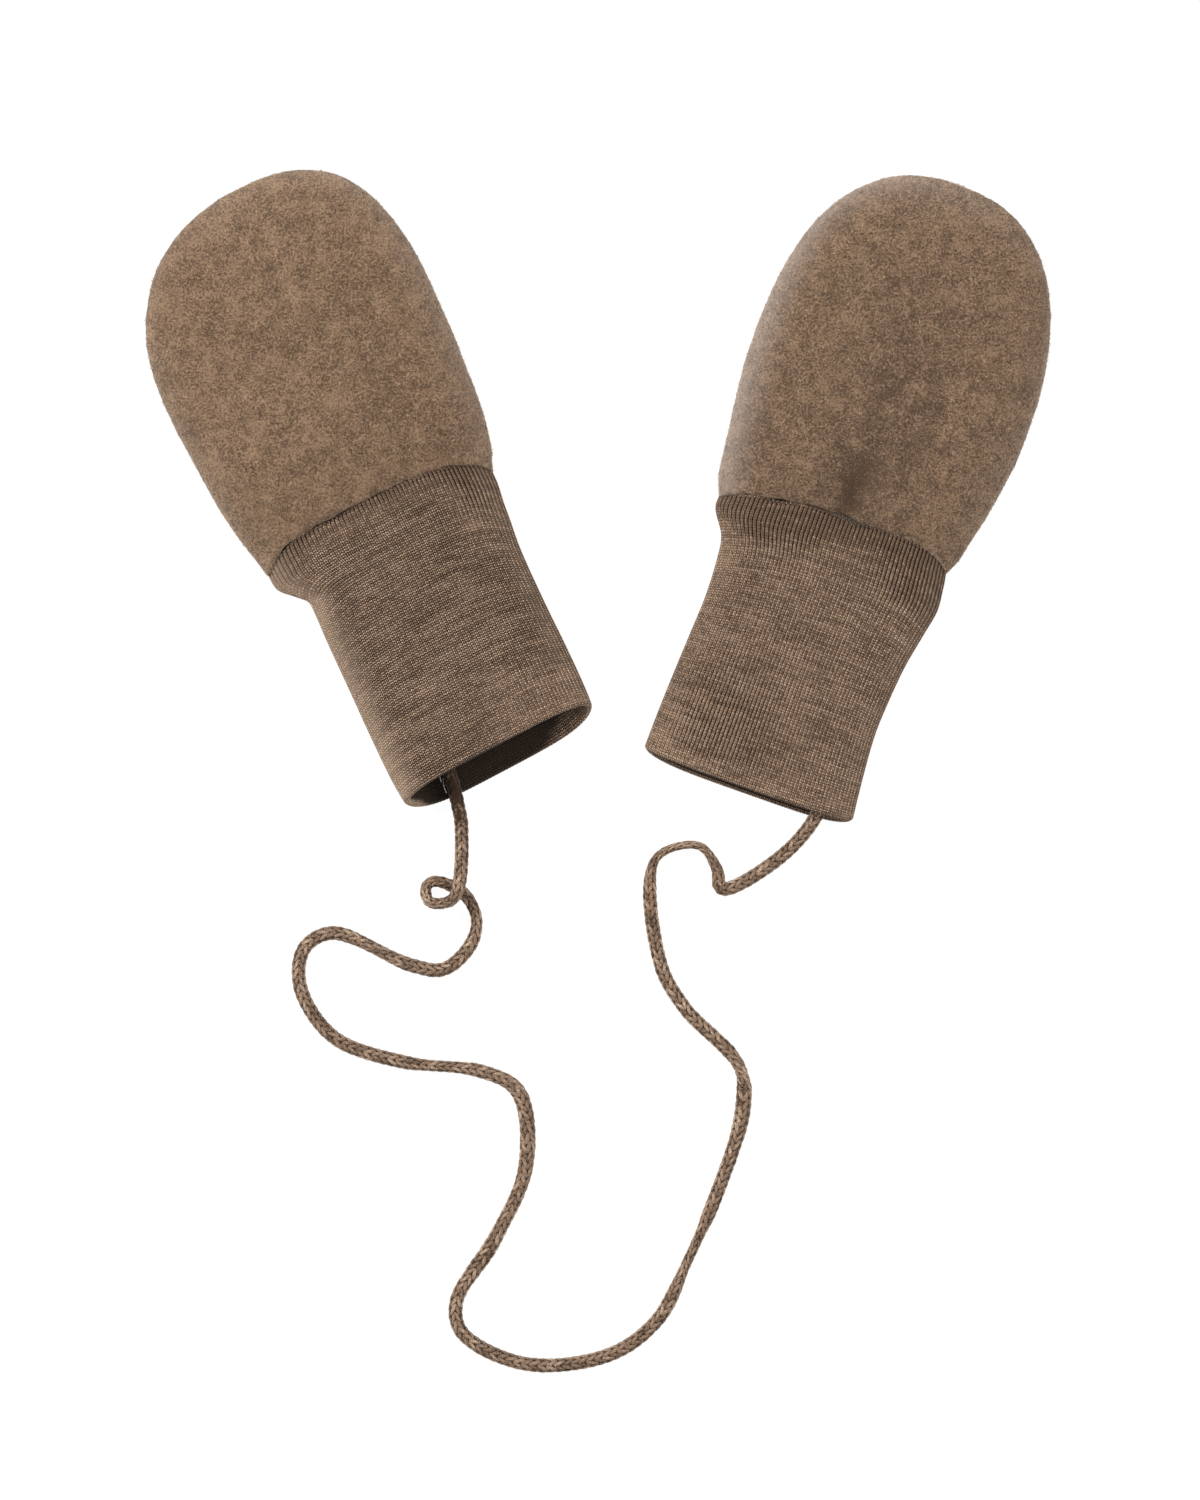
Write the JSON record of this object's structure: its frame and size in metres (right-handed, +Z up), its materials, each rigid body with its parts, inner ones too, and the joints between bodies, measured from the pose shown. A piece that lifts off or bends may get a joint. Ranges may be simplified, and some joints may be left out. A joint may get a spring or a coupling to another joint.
{
  "type": "pair of baby mittens",
  "caption": "Thumbless baby mittens laid flat: rounded wool fleece hands on long ribbed knit cuffs folded double, joined by a thin knitted cord sewn inside the cuffs",
  "frame": {"origin": "middle of the two mittens' box in plan, on the surface they lie on; the cord is not counted", "axes": "+X to the right across the pair, +Y from the open cuffs towards the finger tips, +Z up from the surface"},
  "size_m": [0.231, 0.3074, 0.0164],
  "materials": {
    "wool_fleece": "soft brushed heather wool",
    "rib_knit": "fine ribbed heather wool knit",
    "cord_yarn": "knitted wool cord"
  },
  "bodies": {
    "root": {"left_hand_front": "wool_fleece", "left_hand_back": "wool_fleece", "left_cuff": "rib_knit", "right_hand_front": "wool_fleece", "right_hand_back": "wool_fleece", "right_cuff": "rib_knit", "cord": "cord_yarn"}
  },
  "joints": []
}
